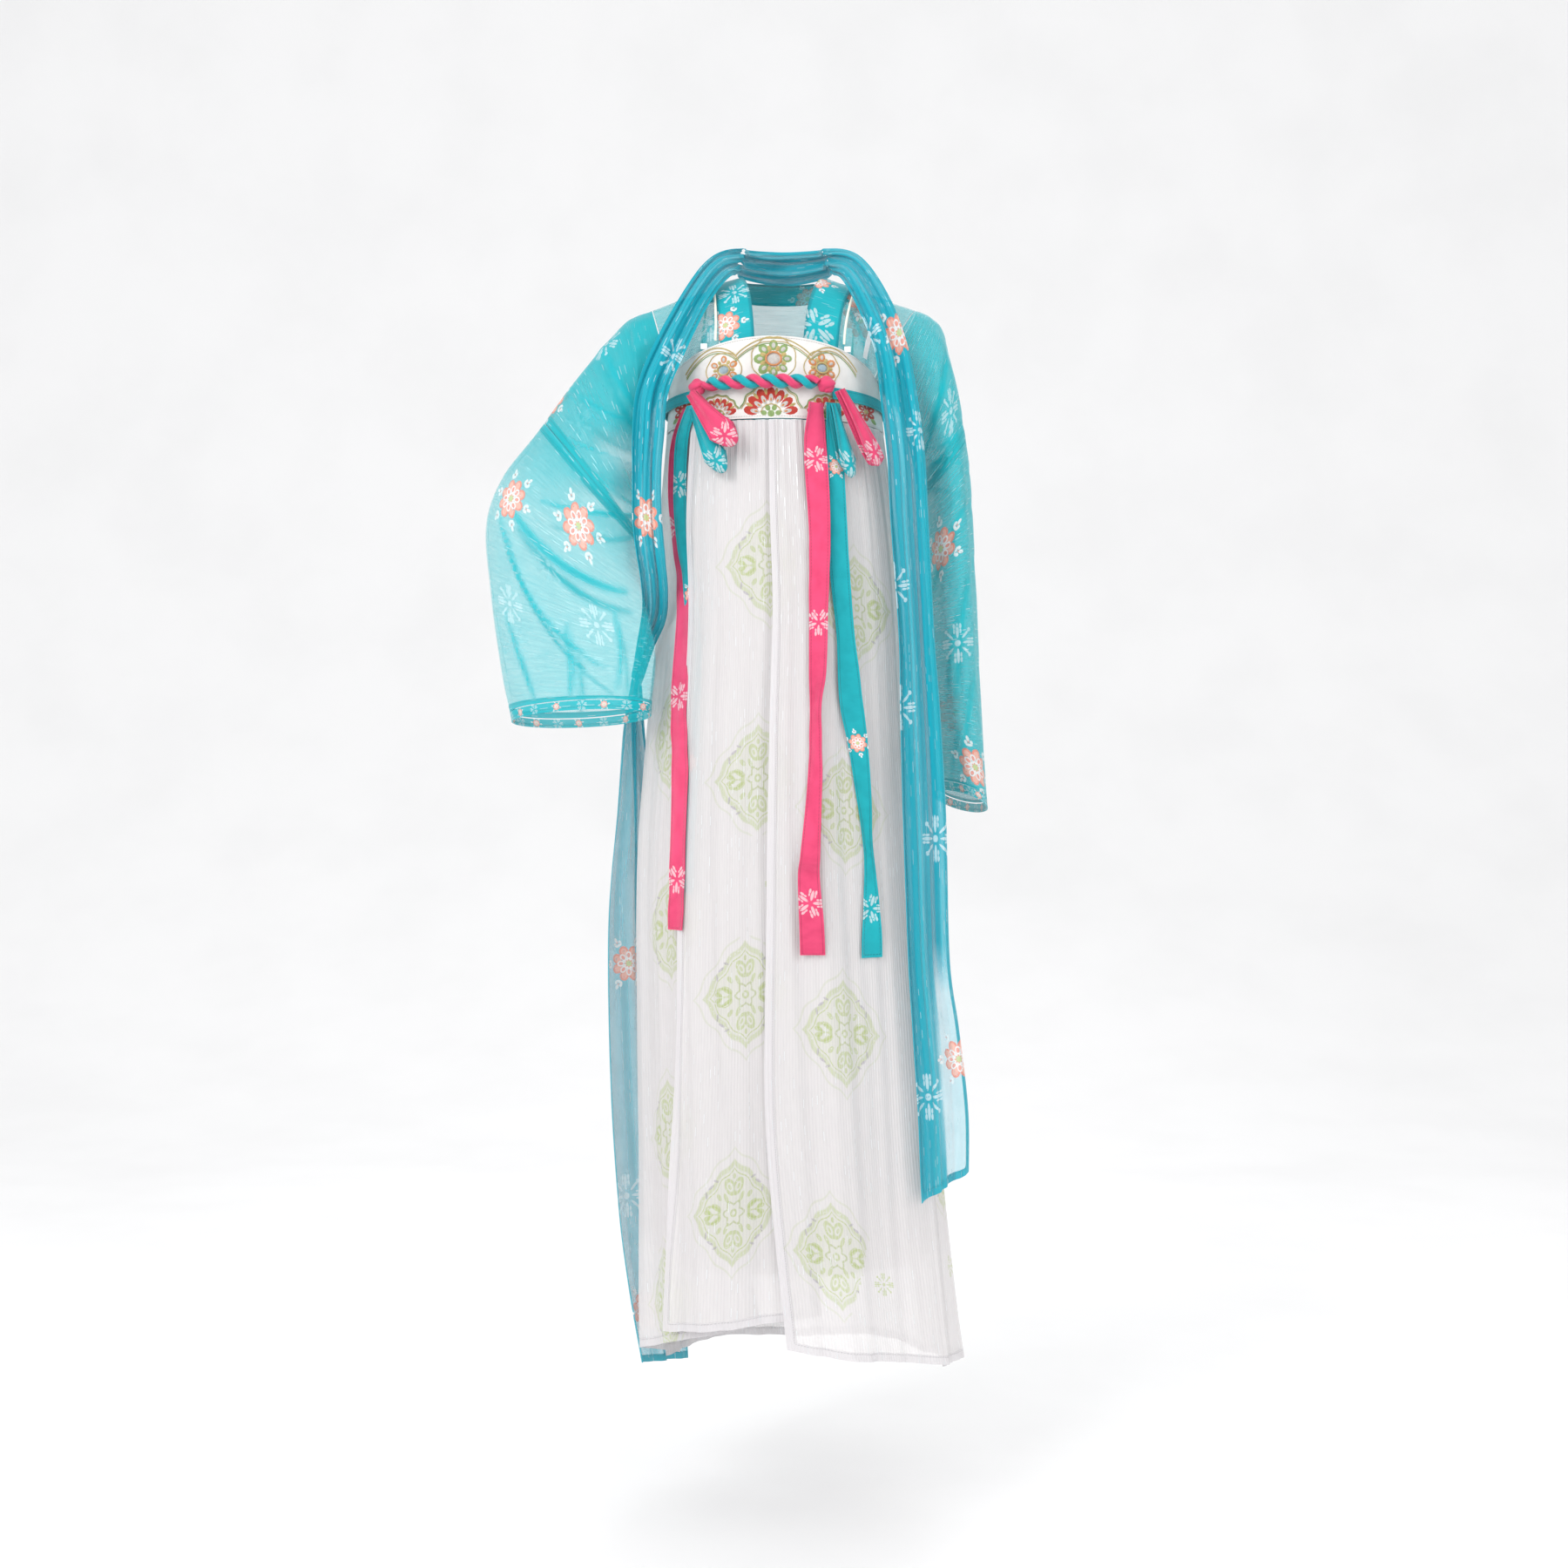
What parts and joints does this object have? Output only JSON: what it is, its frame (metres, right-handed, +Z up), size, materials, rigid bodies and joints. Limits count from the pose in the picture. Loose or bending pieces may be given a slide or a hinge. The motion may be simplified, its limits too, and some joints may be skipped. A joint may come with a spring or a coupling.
{
  "type": "hanfu robe set",
  "caption": "Hanfu set worn hollow: sheer teal blouse and long shawl over a white high-waisted skirt with an embroidered chest band and pink and teal ties.",
  "frame": {"origin": "middle of the wearer's shoulder line, where the wearer holds the set up", "axes": "+Z up, -Y the front, +X the wearer's left"},
  "size_m": [0.6262, 0.3383, 1.4562],
  "materials": {
    "teal_chiffon": "sheer crinkled chiffon with metal streaks",
    "teal_band": "doubled chiffon",
    "shawl_chiffon": "sheer crinkled chiffon with metal streaks",
    "white_voile": "sheer ribbed voile with printed medallions",
    "white_lining": "plain lining",
    "embroidered_band": "satin with embroidery",
    "pink_tie": "soft ribbon",
    "teal_tie": "soft ribbon",
    "cream_cord": "thin cord",
    "clear_strap": "clear",
    "white_clip": "smooth"
  },
  "bodies": {
    "root": {"blouse_back": "teal_chiffon", "blouse_front_left": "teal_chiffon", "blouse_front_right": "teal_chiffon", "sleeve_left_upper": "teal_chiffon", "sleeve_left_lower": "teal_chiffon", "sleeve_right_shoulder": "teal_chiffon", "sleeve_right_upper": "teal_chiffon", "sleeve_right_lower": "teal_chiffon", "collar_left": "teal_band", "collar_right": "teal_band", "collar_neck": "teal_band", "sleeve_left_hem": "teal_band", "sleeve_right_hem": "teal_band", "shawl_neck": "shawl_chiffon", "shawl_right": "shawl_chiffon", "shawl_right_fall": "shawl_chiffon", "shawl_left": "shawl_chiffon", "skirt_front_left": "white_voile", "skirt_front_right": "white_voile", "skirt_side_left": "white_voile", "skirt_side_right": "white_voile", "skirt_back": "white_voile", "skirt_lining": "white_lining", "skirt_band_front": "embroidered_band", "skirt_band_back": "embroidered_band", "bow_left_pink": "pink_tie", "bow_right_pink": "pink_tie", "tail_left_pink": "pink_tie", "tail_right_pink": "pink_tie", "knot_left": "pink_tie", "knot_right": "pink_tie", "roll_pink": "pink_tie", "bow_left_teal": "teal_tie", "bow_right_teal": "teal_tie", "tail_left_teal": "teal_tie", "tail_right_teal": "teal_tie", "roll_teal": "teal_tie", "tie_band": "teal_tie", "strap_left": "cream_cord", "strap_right": "cream_cord", "clear_strap": "clear_strap", "clip_left": "white_clip", "clip_right": "white_clip"}
  },
  "joints": []
}
